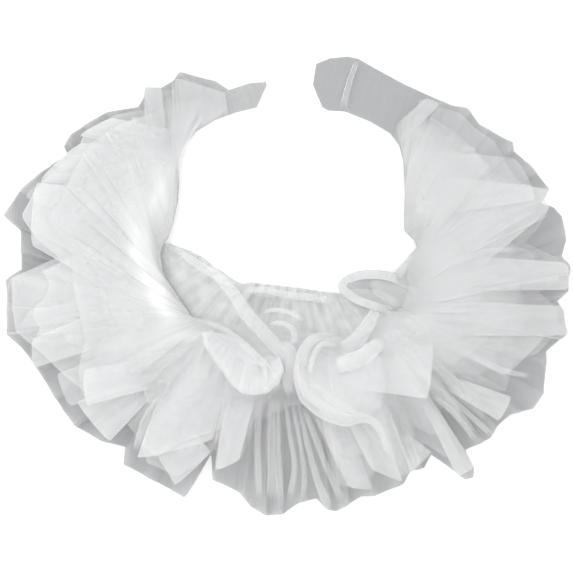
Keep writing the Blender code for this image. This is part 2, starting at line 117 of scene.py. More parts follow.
UNDER_FOLDS = [Fold(*row) for row in (
    (121.5, 0.5, 0.8, 1.6), (127.5, 0.7, 1.6, 2.0), (133, 0.6, 1.5, 2.0), (138.5, 0.7, 1.8, 2.0),
    (144, 0.5, 1.4, 2.0), (149.5, 0.6, 1.4, 2.0), (155, 0.6, 1.8, 2.2), (161, 0.5, 1.5, 2.2),
    (166.5, 0.7, 1.8, 2.0), (173, 0.6, 2.4, 2.6), (179.8, 0.8, 2.0, 2.6), (186.5, 0.5, 0.8, 2.2),
    (193, 0.8, -1.2, 2.2), (198.5, 0.6, -1.4, 2.2), (204, 0.8, -1.0, 2.2), (210, 0.5, 0.8, 2.4),
    (216.5, 0.6, 1.2, 2.4), (223, 0.6, 1.4, 2.4), (229.5, 0.5, 1.2, 2.4), (236, 0.8, -1.0, 2.2),
    (242, 0.6, 0.6, 2.2), (249, 0.8, 1.4, 2.2), (254.5, 0.8, -0.8, 1.8), (260.5, 0.5, 0.0, 1.6),
    (264.4, 0.8, 0.9, 1.3), (267.6, 0.8, 0.9, 1.3), (272.4, 0.6, -0.4, 1.5), (277, 0.9, 0.9, 1.3),
    (280.6, 0.8, 0.9, 1.4), (286, 0.6, 1.2, 2.0), (291.5, 0.7, 1.2, 1.8), (296.4, 0.7, 0.8, 1.6),
    (304, 1.0, 0.6, 2.2), (309.6, 0.8, 0.8, 1.5), (313.4, 0.8, 0.8, 1.4), (318.5, 0.6, 1.0, 2.0),
    (324, 0.6, 1.2, 2.2), (330.5, 0.6, -0.8, 2.2), (337, 0.9, -1.0, 2.2), (343.5, 0.6, -0.8, 1.8),
    (350, 0.8, -1.2, 2.2), (357, 0.5, -1.2, 2.4), (364.5, 0.7, -1.4, 2.2), (371, 0.5, -1.0, 2.2),
    (377.6, 0.6, -1.0, 2.0), (384, 0.5, -0.9, 2.0), (390.5, 0.6, -0.9, 2.0), (396.5, 0.4, -0.5, 1.8),
)]


def smooth(share):
    """Eases a share from 0 to 1."""
    share = min(1.0, max(0.0, share))
    return share * share * (3.0 - 2.0 * share)


def inside(stretch, value):
    """1 inside a stretch, easing in after its start and out before its end."""
    return (smooth((value - stretch.start) / stretch.rise)
            * smooth((stretch.end - value) / stretch.fall))


def pitch(radius):
    """Height that one flounce takes at this distance from the neck centre."""
    if radius >= PINCH_RADIUS:
        return PINCH_PITCH + (HEM_PITCH - PINCH_PITCH) * smooth((radius - PINCH_RADIUS) / SPREAD_OUT)
    return PINCH_PITCH + (FRILL_PITCH - PINCH_PITCH) * smooth((PINCH_RADIUS - radius) / SPREAD_IN)


def polar(angle, radius, height=0.0):
    """A point at an angle and distance from the neck centre."""
    turn = math.radians(angle)
    return NECK_CENTRE + Vector((radius * math.cos(turn), radius * math.sin(turn), height))


def neighbours(rows, value):
    """The two rows of a table on either side of a value of its first column."""
    for low, high in zip(rows, rows[1:]):
        if value <= high[0]:
            return low, high
    return rows[-2], rows[-1]


def part_between(low, high, angle):
    """How far an angle lies from one row of a table to the next, from 0 to 1."""
    return min(1.0, max(0.0, (angle - low.angle) / (high.angle - low.angle)))


def angle_along(outline, along):
    """The angle a share of the way along an outline."""
    return outline[0].angle + (outline[-1].angle - outline[0].angle) * along


def reach_at(corners, angle):
    """Distance to the straight line between two corners of an outline, in metres."""
    low, high = neighbours(corners, angle)
    angle = min(max(angle, low.angle), high.angle)
    before, after = math.radians(angle - low.angle), math.radians(high.angle - angle)
    span = low.reach * math.sin(before) + high.reach * math.sin(after)
    return MM * low.reach * high.reach * math.sin(before + after) / span


def thread_angle(angle):
    """Where on the gathering thread the fold at this hem angle starts."""
    low, high = neighbours(FAN, angle)
    return low.thread + (high.thread - low.thread) * (angle - low.hem) / (high.hem - low.hem)


def fold_wave(folds, angle):
    """Height share of the cloth at a hem angle: 0 in a valley, up to 1 on a crest."""
    height = 0.0
    for fold in folds:
        offset = abs(angle - fold.angle) / fold.half
        if offset < 1.0:
            height = max(height, fold.rise * (1.0 + math.cos(math.pi * offset)) / 2.0)
    return height


def fold_lean(folds, angle):
    """Sideways lean at a hem angle, between the leans of the nearest folds."""
    low, high = neighbours(folds, angle)
    return low.lean + (high.lean - low.lean) * part_between(low, high, angle)


DRIFT_ACROSS, SEEDS_APART = 1.7, 7.31  # changes from thread to hem, and between two seeds


def drift(angle, share, seed, grain=0.16):
    """Slow, uneven wandering between -1 and 1."""
    return noise.noise(Vector((angle * grain, share * DRIFT_ACROSS, seed * SEEDS_APART)))


WIDE_SCALLOPS, WIDE_DEPTH = 0.13, 0.7  # how many in a degree, and share of the cut-back
SHORT_SCALLOPS, SHORT_DEPTH = 0.45, 0.35


def ragged(angle, seed):
    """Cut-back of a hem between 0 and 1, flowing along it in long uneven scallops."""
    wide = noise.noise(Vector((angle * WIDE_SCALLOPS, seed * 3.7, 0.0)))
    short = noise.noise(Vector((angle * SHORT_SCALLOPS, seed * 5.1, 4.0)))
    return min(1.0, max(0.0, 0.5 + WIDE_DEPTH * wide + SHORT_DEPTH * short))


HEADING_DEPTH, HEADING_UNEVENNESS = 0.75, 0.5  # shares of the depth in the table
LOWEST_HEADED = 1.2  # seat of the lowest ply that has a heading, in flounces


def heading(angle, ply):
    """How far a white ply stands in past the gathering thread at the front, in metres."""
    low, high = neighbours(HEADING, thread_angle(angle))
    share = (thread_angle(angle) - low.angle) / (high.angle - low.angle)
    depth = low.depth + (high.depth - low.depth) * share
    uneven = HEADING_DEPTH + HEADING_UNEVENNESS * drift(angle, 0.0, ply.seed + 80, grain=0.12)
    return depth * MM * uneven * (0.0 if ply.level < LOWEST_HEADED else min(1.0, ply.level - 1.0))


def flounce_point(angle, share, hem, folds, ply):
    """A point of a gathered ply at a hem angle and a share of the way from the thread out."""
    opened = smooth(share / OPENING_SHARE)
    wave = fold_wave(folds, angle - ply.shift) * opened
    lean = fold_lean(folds, angle - ply.shift)
    uneven = drift(angle, share, ply.seed + 1, grain=0.3)
    wave = min(1.0, wave * (FOLD_HEIGHT + FOLD_UNEVENNESS * uneven))
    turn = lean * wave + MORE_LEAN * lean * (wave - LEAN_FROM) * opened
    leaned = min(max(angle + turn, hem[0].angle), hem[-1].angle)
    start = polar(thread_angle(angle), reach_at(THREAD, thread_angle(angle)) - heading(angle, ply))
    reach = reach_at(hem, leaned) * (ply.short - ply.rag * ragged(angle, ply.seed))
    reach = max(reach, (start - NECK_CENTRE).length + LEAST_DEPTH)
    place = start.lerp(polar(leaned, reach), share)
    stray = WANDER * math.sin(math.pi * min(share, WANDER_TO))
    stray *= drift(angle, share, ply.seed, grain=0.07)
    flat = place - NECK_CENTRE
    radius = flat.length
    gathered = inside(GATHERED, angle)
    direction = math.degrees(math.atan2(flat.y, flat.x)) + stray * gathered
    height = pitch(radius)
    stagger = FINE_GATHER_STRAY * drift(angle, 0.0, ply.seed + 2, grain=0.5)
    fine = 0.5 + 0.5 * math.sin(angle * FINE_GATHER_TURN + stagger)
    gather = FINE_GATHER * fine * smooth(1.0 - share * FINE_GATHER_FADE) * gathered
    ripple = RIPPLE * drift(angle, share * 3.0, ply.seed + 3, grain=0.9)
    rise = min(1.0, max(0.0, wave * CREST + gather + ripple * gathered))
    room = (height - CAD_WALL - PLY_GAP) * ply.room
    seat = ply.level * height + CAD_WALL / 2.0
    return polar(direction, radius, seat + rise * room + ply.lift * share)


def gathered_on(hem, folds, ply):
    """The points of a ply gathered between the thread and this hem."""
    def point(along, out):
        return flounce_point(angle_along(hem, along), out, hem, folds, ply)
    return point


THREADS = 4200.0  # radians of the net's weave in a metre of cloth


def net_finish(name, shade, light, coverage, fold_coverage, painted_glow, net_share=0.10):
    """Sheer matt net: holes too small to see, denser where it turns over in a fold and painted lighter
    there as a highlight, darkened by painted shade and given a painted glow.
    """
    finish = bpy.data.materials.new(name)
    finish.use_nodes = True
    nodes, links = finish.node_tree.nodes, finish.node_tree.links

    def node(kind, **settings):
        made = nodes.new(kind)
        for setting, value in settings.items():
            setattr(made, setting, value)
        return made

    shader = nodes["Principled BSDF"]
    shader.inputs["Roughness"].default_value = 0.9
    shader.inputs["Specular IOR Level"].default_value = 0.1
    # painted glow: emission on the net, standing in for light that comes through it from behind
    shader.inputs["Emission Color"].default_value = light
    shader.inputs["Emission Strength"].default_value = painted_glow
    fold, depth, body = (node("ShaderNodeAttribute", attribute_name=measure)
                         for measure in ("fold", "depth", "body"))
    # painted highlight: the colour is lightened from shade towards light as the fold value rises
    colour_and_fold_highlight = node("ShaderNodeMix", data_type="RGBA")
    colour_and_fold_highlight.inputs["A"].default_value = shade
    colour_and_fold_highlight.inputs["B"].default_value = light
    links.new(fold.outputs["Fac"], colour_and_fold_highlight.inputs["Factor"])
    # painted shade: the colour is darkened by the depth attribute
    deep = node("ShaderNodeVectorMath", operation="SCALE")
    links.new(colour_and_fold_highlight.outputs["Result"], deep.inputs["Vector"])
    links.new(depth.outputs["Fac"], deep.inputs["Scale"])
    links.new(deep.outputs["Vector"], shader.inputs["Base Color"])
    cover = node("ShaderNodeMapRange")
    cover.inputs["To Min"].default_value = coverage
    cover.inputs["To Max"].default_value = fold_coverage
    links.new(fold.outputs["Fac"], cover.inputs["Value"])
    place = node("ShaderNodeUVMap", uv_map="net")
    threads = node("ShaderNodeVectorMath", operation="SCALE")
    threads.inputs["Scale"].default_value = THREADS
    links.new(place.outputs["UV"], threads.inputs["Vector"])
    weave = node("ShaderNodeVectorMath", operation="SINE")
    links.new(threads.outputs["Vector"], weave.inputs["Vector"])
    both = node("ShaderNodeSeparateXYZ")
    links.new(weave.outputs["Vector"], both.inputs["Vector"])
    holes = node("ShaderNodeMath", operation="MULTIPLY")
    links.new(both.outputs["X"], holes.inputs[0])
    links.new(both.outputs["Y"], holes.inputs[1])
    grain = node("ShaderNodeMath", operation="MULTIPLY_ADD")
    grain.inputs[1].default_value = net_share
    links.new(holes.outputs["Value"], grain.inputs[0])
    links.new(body.outputs["Fac"], grain.inputs[2])
    alpha = node("ShaderNodeMath", operation="MULTIPLY", use_clamp=True)
    links.new(cover.outputs["Result"], alpha.inputs[0])
    links.new(grain.outputs["Value"], alpha.inputs[1])
    links.new(alpha.outputs["Value"], shader.inputs["Alpha"])
    return finish


def even(along, out):
    """The same closeness of the net all over."""
    return 1.0


def unshaded(along, out):
    """No darker anywhere."""
    return 0.0


FOLD_DENSITY_AND_HIGHLIGHT = 0.14  # how fast the net grows denser and takes a painted highlight as it turns over in a fold
LEAST_TURN = 0.08  # upward part of a fold's slope past which it grows no denser and takes no more painted highlight
THREAD_FOLD_DENSITY_AND_HIGHLIGHT = 0.25  # the part of it that the fine gathers keep at the thread
FOLD_DENSITY_AND_HIGHLIGHT_OVER = 0.5  # how far out from the thread it is full
HEM_ROW = 0.988  # the last row of the net lies this far out, so the hem is a thin line
STREAKS = 220.0  # uneven streaks along a metre of net
STREAK_ACROSS = 1.3  # and between its thread and its hem
FINER_STREAKS, FINER_STREAK = 2.3, 0.6  # times as many, and their share


def lay_net(name, wide, deep, point, finish, cut, edge_density_and_highlight=0.5, close=even, streak=0.12,
            shaded=unshaded):
    """One length of net: a grid laid on point(along, out). cut is its depth and width before gathering,
    close its closeness at (along, out), streak how uneven the gathers leave it, and shaded how much
    painted shade darkens its colour at (along, out)."""
    grid = bmesh.new()
    grid.loops.layers.uv.new("net")
    bmesh.ops.create_grid(grid, x_segments=wide, y_segments=deep, size=1.0, calc_uvs=True)
    outs, alongs = [], []
    for corner in grid.verts:
        column = round((corner.co.x + 1.0) / 2.0 * wide)
        row = round((corner.co.y + 1.0) / 2.0 * deep)
        outs.append(row / (deep - 1) * HEM_ROW if row < deep else 1.0)
        alongs.append(column / wide)
        corner.co = point(alongs[-1], outs[-1])
    bmesh.ops.recalc_face_normals(grid, faces=grid.faces)
    where = grid.loops.layers.uv["net"]
    for face in grid.faces:
        face.smooth = True
        for loop in face.loops:
            loop[where].uv = (loop[where].uv[0] * cut[1], loop[where].uv[1] * cut[0])
    hem = [any(len(edge.link_faces) == 1 for edge in corner.link_edges) for corner in grid.verts]
    mesh = bpy.data.meshes.new(name)
    grid.to_mesh(mesh)
    grid.free()
    turned = mesh.attributes.new("fold", "FLOAT", "POINT")
    body = mesh.attributes.new("body", "FLOAT", "POINT")
    depth = mesh.attributes.new("depth", "FLOAT", "POINT")
    for index, corner in enumerate(mesh.vertices):
        # steep faces get a higher fold value: denser net, and a painted highlight in its colour
        steep = 1.0 / max(LEAST_TURN, abs(corner.normal.z)) - 1.0
        opened = THREAD_FOLD_DENSITY_AND_HIGHLIGHT + (1.0 - THREAD_FOLD_DENSITY_AND_HIGHLIGHT) * smooth(outs[index] / FOLD_DENSITY_AND_HIGHLIGHT_OVER)
        # a hem adds density and a painted highlight line along the edge
        edge = edge_density_and_highlight if hem[index] else 0.0
        turned.data[index].value = min(1.0, FOLD_DENSITY_AND_HIGHLIGHT * opened * steep + edge)
        # painted shade, darker near the thread
        depth.data[index].value = 1.0 - shaded(alongs[index], outs[index])
        across = Vector((alongs[index] * cut[1] * STREAKS, outs[index] * STREAK_ACROSS, len(name)))
        bunch = noise.noise(across) + FINER_STREAK * noise.noise(across * FINER_STREAKS)
        body.data[index].value = max(0.0, (1.0 + streak * bunch) * close(alongs[index], outs[index]))
    mesh.materials.append(finish)
    piece = bpy.data.objects.new(name, mesh)
    bpy.context.scene.collection.objects.link(piece)
    shell = piece.modifiers.new("net thickness", "SOLIDIFY")
    shell.thickness = NET_THICKNESS
    shell.offset = 0.0
    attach(piece, "root")
    return piece


# painted shade: the single net is the same net as the white plies, coloured grey for the shade seen
# through one ply
SHEER_PAINTED_SHADE = (0.40, 0.405, 0.41, 1.0)
SHEER_PAINTED_LIGHT = (0.72, 0.725, 0.73, 1.0)
SHEER_COVERAGE = 0.50
SHEER_FOLD_COVERAGE = 0.75
SHEER_PAINTED_GLOW = 0.03  # painted glow, standing in for light that comes through the net from behind
sheer_net = net_finish("single net", SHEER_PAINTED_SHADE, SHEER_PAINTED_LIGHT, SHEER_COVERAGE, SHEER_FOLD_COVERAGE,
                       SHEER_PAINTED_GLOW)


UNDER_PLY = Ply("under_flounce", 0.0, 1.0, 1, 0.0, 1.0, 0.0, 0.0, 0.0, 0.095)
UNDER_CUT = (UNDER_PLY.deep, 1.0)
UNDER_MESH = (1200, 24)  # along the hem and across the depth
RIGHT_END_CLOSENESS = 1.4
RIGHT_END_START, RIGHT_END_EASE = 396.0, 10.0  # hem degrees
LEFT_END_CLOSENESS = 0.88
LEFT_END_START, LEFT_END_EASE = 124.0, 8.0
FRONT_CLOSENESS = 0.85
FRONT = Stretch(246.0, 8.0, 300.0, 8.0)


def under_close(along, out):
    """Closeness of the single net: closest in the plain end at the right, loosest at the front."""
    angle = angle_along(UNDER_HEM, along)
    right = smooth((angle - RIGHT_END_START) / RIGHT_END_EASE)
    left = smooth((LEFT_END_START - angle) / LEFT_END_EASE)
    return (1.0 + (RIGHT_END_CLOSENESS - 1.0) * right + (LEFT_END_CLOSENESS - 1.0) * left
            + (FRONT_CLOSENESS - 1.0) * inside(FRONT, angle))


under_flounce = lay_net(UNDER_PLY.name, *UNDER_MESH, gathered_on(UNDER_HEM, UNDER_FOLDS, UNDER_PLY),
                        sheer_net, UNDER_CUT, edge_density_and_highlight=0.2, close=under_close, streak=0.06)
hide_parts("under_flounce_left", "under_flounce_front", "under_flounce_right",
            "plain_end_left", "plain_end_right")


# Middle flounce
# A second frill of white net, doubled twice, gathered on the same thread and cut shorter, so that
# a rim of the under flounce, grey with painted shade, shows past it. Its four plies part a little
# towards the hem.
MIDDLE_HEM = [Corner(*row) for row in (
    (119, 104), (123, 111), (127.5, 127), (133, 124), (138.3, 136), (143, 129), (150, 146),
    (158, 160), (164, 161), (170, 176), (175, 186), (180, 194), (185, 184), (190, 170),
    (192.6, 206), (198, 211), (203, 215), (209, 205), (216, 199), (222, 194), (230, 189),
    (236, 195), (240, 206), (246.5, 205), (250.5, 186), (252, 176), (254, 191), (258.5, 178),
    (261, 150), (270, 137), (277, 138), (279.5, 196), (284, 203), (288, 196), (290, 188),
    (292.5, 206), (298, 200), (300.6, 190), (302.5, 205), (304.5, 214), (306.5, 190),
    (308, 174), (310.5, 208), (312, 178), (313.5, 206), (316, 186), (321, 200), (327, 192),
    (331, 204), (337, 211), (341, 202), (343, 186), (346, 199), (351, 196), (353.5, 170),
    (357, 178), (361, 186), (366, 183), (368.5, 166), (374, 160), (380, 157), (386, 147),
    (391, 144), (396, 134), (402, 126),
)]
MIDDLE_FOLDS = [Fold(*row) for row in (
    (122, 0.6, 1.0, 3.0), (127.8, 0.9, 1.8, 2.8), (133.6, 0.7, 1.8, 2.8), (139.4, 0.9, 2.2, 2.9),
    (145.6, 0.7, 2.2, 3.1), (152, 0.8, 2.4, 3.2), (158.6, 0.7, 2.6, 2.3), (165.4, 0.9, 2.8, 2.4),
    (172.4, 0.8, 3.0, 3.5), (179.6, 1.0, 3.0, 3.6), (187.2, 0.6, 1.0, 3.4), (194, 0.9, -2.0, 3.2),
    (200.4, 0.8, -2.2, 3.1), (206.6, 0.8, -1.4, 3.1), (213, 0.7, 1.0, 3.2), (219.6, 0.8, 2.2, 3.3),
    (226.4, 0.8, 2.6, 3.4), (233, 0.7, 1.2, 3.0), (239, 0.9, -1.4, 3.0), (245.2, 0.9, 1.0, 3.1),
    (250.6, 0.9, 1.4, 2.3), (255.4, 0.9, -1.2, 2.4), (260.6, 0.6, 0.0, 2.6), (266, 0.6, 0.6, 2.7),
    (271.6, 0.6, 0.0, 2.8), (277, 0.8, -0.6, 2.6), (281.8, 0.9, -1.4, 2.3), (287, 0.8, 1.6, 2.6),
    (292.4, 1.0, 1.6, 2.6), (297.6, 0.8, 1.2, 2.6), (303.6, 1.0, 0.8, 2.8), (309.8, 0.9, 1.4, 2.2),
    (314.2, 0.9, 1.4, 2.1), (319.4, 0.8, 1.8, 2.8), (325.2, 0.8, 1.6, 2.9), (331.2, 0.9, -1.2, 3.0),
    (337.4, 0.9, -1.8, 3.1), (343.6, 0.8, -1.8, 3.0), (349.8, 1.0, -2.4, 3.1), (356.2, 0.7, -2.6, 3.2),
    (362.8, 0.9, -2.6, 3.3), (369.2, 0.7, -2.2, 2.2), (375.4, 0.7, -2.0, 2.0), (381.4, 0.7, -1.8, 3.0),
    (387.4, 0.7, -1.6, 3.0), (393.4, 0.7, -1.2, 3.0), (399, 0.5, -0.6, 2.6),
)]
WHITE_SHADE = (0.70, 0.703, 0.708, 1.0)
WHITE_PAINTED_LIGHT = (0.81, 0.812, 0.816, 1.0)
WHITE_COVERAGE = 0.26
WHITE_FOLD_COVERAGE = 0.62
# painted glow, standing in for light that comes through the net from behind
WHITE_PAINTED_GLOW = 0.10
white_net = net_finish("gathered net", WHITE_SHADE, WHITE_PAINTED_LIGHT, WHITE_COVERAGE, WHITE_FOLD_COVERAGE,
                       WHITE_PAINTED_GLOW)

MIDDLE_LENGTH = 0.80
MIDDLE_MESH = (860, 20)
MIDDLE_EDGE_DENSITY_AND_HIGHLIGHT = 0.5
MIDDLE_PLIES = (
    Ply("middle_flounce_lower_ply", 1.0, 0.5, 11, 0.0, 1.0, 0.0, 0.0, 0.35, 0.080),
    Ply("middle_flounce_lining_ply", 1.0, 0.5, 11, 0.0, 0.93, 0.14, 0.0006, 0.8, 0.058),
    Ply("middle_flounce_upper_ply", 1.5, 0.36, 12, 0.7, 0.96, 0.12, 0.0, 0.45, 0.063),
    Ply("middle_flounce_outer_ply", 1.5, 0.36, 12, 0.7, 0.88, 0.16, 0.0006, 0.95, 0.048),
)

Crowd = namedtuple("Crowd", "angle closeness")  # degrees, times the net's own closeness
CROWDS = [Crowd(*row) for row in (
    (119, 0.25), (128, 0.40), (134, 0.45), (138, 0.25), (142, 0.3), (146, 0.9), (150, 1.6),
    (163, 2.2), (180, 2.4), (200, 1.8), (225, 1.15), (245, 0.9), (256, 0.7), (262, 0.6), (277, 0.6),
    (282, 0.7), (300, 0.6), (318, 0.65), (340, 0.52), (352, 0.48), (362, 0.52), (380, 0.6), (402, 0.55),
)]
CLOUD = 0.5  # how unevenly the net lies
THREAD_CROWD = 0.45  # its closeness at the thread
OPEN_FROM, OPEN_OVER = 0.5, 0.4  # where it comes back to its own, on the way out
MIDDLE_CROWD = 1.35  # what the overlapping folds add to it halfway out
CROWD_RISE, CROWD_FALL = 0.35, 0.6  # how soon that comes, and goes before the hem
FADE_FROM, FADE_OVER = 0.35, 0.65  # where a ply fades towards its hem
THREAD_SHADE = 0.10  # painted shade: how much darker the gathers are coloured at the thread
THREAD_SHADE_OVER = 0.9  # and how far out that lasts
STEEP_SHADE = 0.15  # painted shade, more of it where they stand steepest, at the left
STEEP_FROM, STEEP_OVER = 0.15, 0.45  # and how far out that lasts
STEEP = Stretch(153.0, 8.0, 186.0, 7.0)  # hem degrees


def crowd(hem, ply):
    """Closeness of a gathered ply: most where its folds overlap halfway out, least at its hem."""
    def close(along, out):
        angle = angle_along(hem, along)
        low, high = neighbours(CROWDS, angle)
        side = low.closeness + (high.closeness - low.closeness) * part_between(low, high, angle)
        cloud = 1.0 + CLOUD * drift(angle, out * 2.5, ply.seed + 60, grain=0.11)
        folds = MIDDLE_CROWD * smooth(out / CROWD_RISE) * smooth((1.0 - out) / CROWD_FALL)
        thread = THREAD_CROWD + folds
        thread += (1.0 - THREAD_CROWD) * smooth((out - OPEN_FROM) / OPEN_OVER)
        return side * cloud * thread * (1.0 - ply.fade * smooth((out - FADE_FROM) / FADE_OVER))
    return close


def thread_shade(hem):
    """Painted shade: how much darker the gathers are coloured near the thread, most where they stand
    steep at the left.
    """
    def shaded(along, out):
        steep = inside(STEEP, angle_along(hem, along))
        return (THREAD_SHADE * (1.0 - smooth(out / THREAD_SHADE_OVER))
                + STEEP_SHADE * steep * (1.0 - smooth((out - STEEP_FROM) / STEEP_OVER)))
    return shaded


for ply in MIDDLE_PLIES:
    cut = (ply.deep, MIDDLE_LENGTH)
    middle_flounce = lay_net(ply.name, *MIDDLE_MESH, gathered_on(MIDDLE_HEM, MIDDLE_FOLDS, ply),
                             white_net, cut, edge_density_and_highlight=MIDDLE_EDGE_DENSITY_AND_HIGHLIGHT * (1.0 - ply.fade),
                             close=crowd(MIDDLE_HEM, ply), shaded=thread_shade(MIDDLE_HEM))
    if ply is MIDDLE_PLIES[0]:
        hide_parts("middle_flounce_left", "middle_flounce_front",
                    "middle_flounce_right")


# Top flounce
# The third and shortest frill is the densest white. It is gathered most tightly at the two front
# corners of the neck, where its folds fan out.
TOP_HEM = [Corner(*row) for row in (
    (128, 106), (135, 116), (143, 124), (152, 140), (160, 153), (168, 159), (175, 164),
    (180.5, 174), (186, 164), (191, 160), (198, 164), (206, 168), (211, 172), (216, 188),
    (221, 198), (225, 183), (230, 156), (234, 150), (237, 196), (241, 199), (244, 182),
    (249, 168), (255, 156), (259, 134), (268, 128), (278, 130), (283, 139), (288, 152),
    (291, 176), (293.5, 192), (296, 156), (302, 148), (309, 149), (316, 156), (323, 164),
    (331, 169), (338, 175), (346, 170), (352, 160), (360, 153), (370, 147), (380, 141),
    (388, 132), (395, 124),
)]
TOP_FOLDS = [Fold(*row) for row in (
    (131.4, 0.6, 1.4, 3.3), (138.4, 0.8, 2.2, 3.5), (145.8, 0.7, 2.4, 3.7), (153.4, 0.9, 2.8, 2.8),
    (161.2, 0.8, 3.0, 2.9), (169.4, 0.9, 3.4, 4.1), (178, 1.0, 3.6, 4.3), (186, 0.7, 1.6, 3.6),
    (193.4, 0.8, -1.6, 3.6), (200.6, 0.7, -1.8, 3.6), (208, 0.8, -1.0, 3.7), (215.6, 0.9, 1.4, 3.8),
    (222.6, 1.0, 3.0, 3.2), (229, 0.7, 2.0, 3.2), (235.4, 0.8, -1.2, 3.2), (241.4, 0.9, 1.0, 2.8),
    (247, 0.7, 1.2, 2.8), (253, 0.8, -0.8, 3.2), (259.4, 0.5, 0.0, 3.2), (266, 0.5, 0.5, 3.4),
    (272.8, 0.5, -0.3, 3.4), (279.4, 0.6, -0.8, 3.2), (285.6, 0.7, 1.2, 3.0), (292, 1.0, 1.8, 3.2),
    (298.4, 0.7, 1.4, 3.2), (305, 0.8, 1.0, 3.2), (311.8, 0.7, 1.4, 3.3), (318.8, 0.8, 1.8, 3.5),
    (326, 0.8, 0.6, 3.6), (333.2, 0.9, -1.4, 3.6), (340.4, 0.8, -2.0, 3.6), (347.6, 0.9, -2.4, 3.6),
    (354.8, 0.7, -2.4, 3.6), (362, 0.9, -2.4, 3.6), (369.2, 0.7, -2.2, 2.6), (376.2, 0.8, -2.0, 2.4),
    (383, 0.6, -1.6, 3.4), (389.8, 0.7, -1.2, 3.4),
)]
TOP_LENGTH = 0.66
TOP_MESH = (760, 18)
TOP_EDGE_DENSITY_AND_HIGHLIGHT = 0.4
TOP_PLIES = (
    Ply("top_flounce_lower_ply", 2.0, 0.34, 21, 0.0, 1.0, 0.0, 0.0, 0.65, 0.060),
    Ply("top_flounce_lining_ply", 2.0, 0.34, 21, 0.0, 1.0, 0.15, 0.0006, 0.95, 0.052),
    Ply("top_flounce_upper_ply", 2.5, 0.30, 22, 0.9, 0.93, 0.12, 0.0, 0.92, 0.044),
)


for ply in TOP_PLIES:
    cut = (ply.deep, TOP_LENGTH)
    top_flounce = lay_net(ply.name, *TOP_MESH, gathered_on(TOP_HEM, TOP_FOLDS, ply), white_net, cut,
                          edge_density_and_highlight=TOP_EDGE_DENSITY_AND_HIGHLIGHT * (1.0 - ply.fade), close=crowd(TOP_HEM, ply),
                          shaded=thread_shade(TOP_HEM))
    if ply is TOP_PLIES[0]:
        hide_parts("top_flounce_left", "top_flounce_front", "top_flounce_right")


# Flaps between the plies
# Broad folds of the same net that fall open between the gathers and lie over each other at odd
# angles. Each is sheer, melts into the gathers and ends in thin edges that are denser and painted
# lighter as a highlight.
STEP = 0.723 * MM  # one step of the measuring grid laid over the collar from its neck centre
Flap = namedtuple("Flap", "x1 y1 x2 y2 x3 y3 x4 y4 level light close soft", defaults=(0.0,))
# corners at the thread (1, 2) and at the hem (3, 4), height in flounces, extra density and painted
# highlight at the edges, closeness, and how far the net melts away from the second side
LEFT_FLAPS = [Flap(*row) for row in (
    (-172, -85, -150, 15, -254, 33, -258, -29, 1.9, 0.45, 1.1),
    (-140, -35, -125, 45, -235, 42, -266, 19, 1.6, 0.35, 0.65),
    (-180, -100, -180, -53, -282, -63, -283, -120, 1.2, 0.50, 0.35),
    (-195, -103, -190, -82, -258, -94, -270, -112, 1.8, 0.35, 0.45),
    (-185, -130, -190, -95, -257, -123, -256, -152, 1.7, 0.50, 0.9),
    (-140, -168, -170, -132, -233, -158, -221, -190, 1.4, 0.35, 0.8),
    (-130, -170, -140, -142, -206, -153, -203, -189, 2.1, 0.50, 1.1),
    (-130, -172, -150, -160, -214, -186, -181, -226, 1.2, 0.30, 1.4),
    (-125, -166, -64, -160, -77, -224, -153, -243, 1.5, 0.45, 1.1),
    (-140, -226, -102, -208, -79, -236, -114, -269, 1.7, 0.55, 0.9),
    (-62, -172, -33, -176, -51, -244, -75, -254, 1.9, 0.50, 0.9),
    (-112, 68, -62, 98, -66, 124, -116, 139, 1.1, 0.15, 0.6),
    (-146, 62, -124, 76, -129, 129, -146, 130, 1.3, 0.35, 0.8),
    (-130, 20, -120, 66, -212, 72, -252, 34, 1.3, 0.30, 1.6),
    (-122, 62, -108, 84, -180, 98, -212, 80, 1.2, 0.25, 1.6),
)]
FRONT_FLAPS = [Flap(*row) for row in (
    (15, -184, 55, -200, 82, -273, 58, -271, 1.3, 0.50, 0.75),
    (50, -196, 86, -196, 112, -266, 80, -252, 1.7, 0.35, 0.9),
    (104, -214, 114, -216, 141, -236, 120, -256, 1.2, 0.35, 0.9),
    (127, -180, 137, -178, 184, -250, 166, -260, 1.5, 0.55, 0.9),
    (150, -170, 160, -160, 221, -181, 208, -205, 1.3, 0.25, 1.1),
)]
RIGHT_FLAPS = [Flap(*row) for row in (
    (152, -131, 156, -124, 256, -118, 214, -160, 1.6, 0.40, 0.5),
    (150, -118, 152, -82, 272, -90, 277, -119, 1.8, 0.45, 0.7),
    (140, -75, 142, -38, 276, -47, 278, -74, 1.4, 0.50, 0.9),
    (165, -75, 140, 40, 259, 26, 257, 5, 1.6, 0.40, 0.8),
    (100, -10, 112, 66, 226, 56, 245, 15, 2.1, 0.20, 0.45),
    (96, 58, 102, 88, 136, 118, 150, 112, 1.3, 0.30, 0.7),
    (150, -92, 152, -34, 127, -32, 98, -64, 1.4, 0.30, 0.9),
    (52, -172, 60, -128, 143, -117, 137, -182, 3.0, 0.25, 0.95, 0.6),
)]
FLAP_MESH = (48, 18)
CORNER_CUT = 0.03  # how far a flap's hem corners are rounded back, as a share of its length
CORNER_SHARPNESS = 5  # the higher, the nearer to the corner
FLAP_BOW = 0.06  # how far its sides bow, as a share of its width at the thread
FLAP_ARCH = 0.30  # how far its middle stands above its sides, in flounces
FLAP_RIPPLE = 0.16  # height of its ripples, in flounces
FLAP_MELT = 0.4  # how far out from the gathers it is there in full


